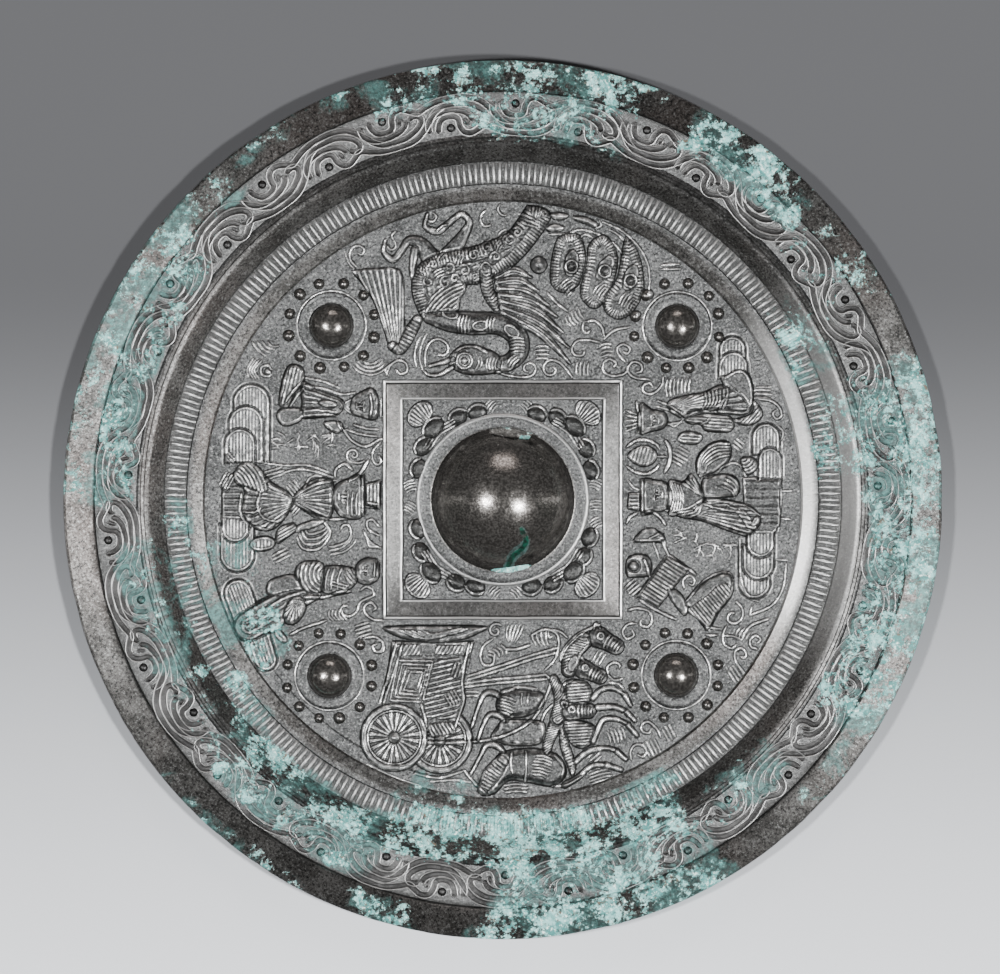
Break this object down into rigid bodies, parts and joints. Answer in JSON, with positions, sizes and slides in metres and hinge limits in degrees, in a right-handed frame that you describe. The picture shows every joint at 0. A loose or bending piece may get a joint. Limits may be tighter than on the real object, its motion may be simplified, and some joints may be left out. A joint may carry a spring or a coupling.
{
  "type": "bronze mirror",
  "caption": "Round cast bronze mirror with a pierced domed knob in a square frame, beaded bosses, a picture in low relief, rings of teeth and cloud scrolls, and a raised flat rim.",
  "frame": {"origin": "middle of the flat polished face", "axes": "+Z out of the ornamented back, through the knob; +Y along the bore of the knob, towards the dragon"},
  "size_m": [0.22, 0.22, 0.015],
  "materials": {
    "bronze": "dark polished cast bronze with pale green and cream patina"
  },
  "bodies": {
    "root": {"bronze_mirror": "bronze"}
  },
  "joints": []
}
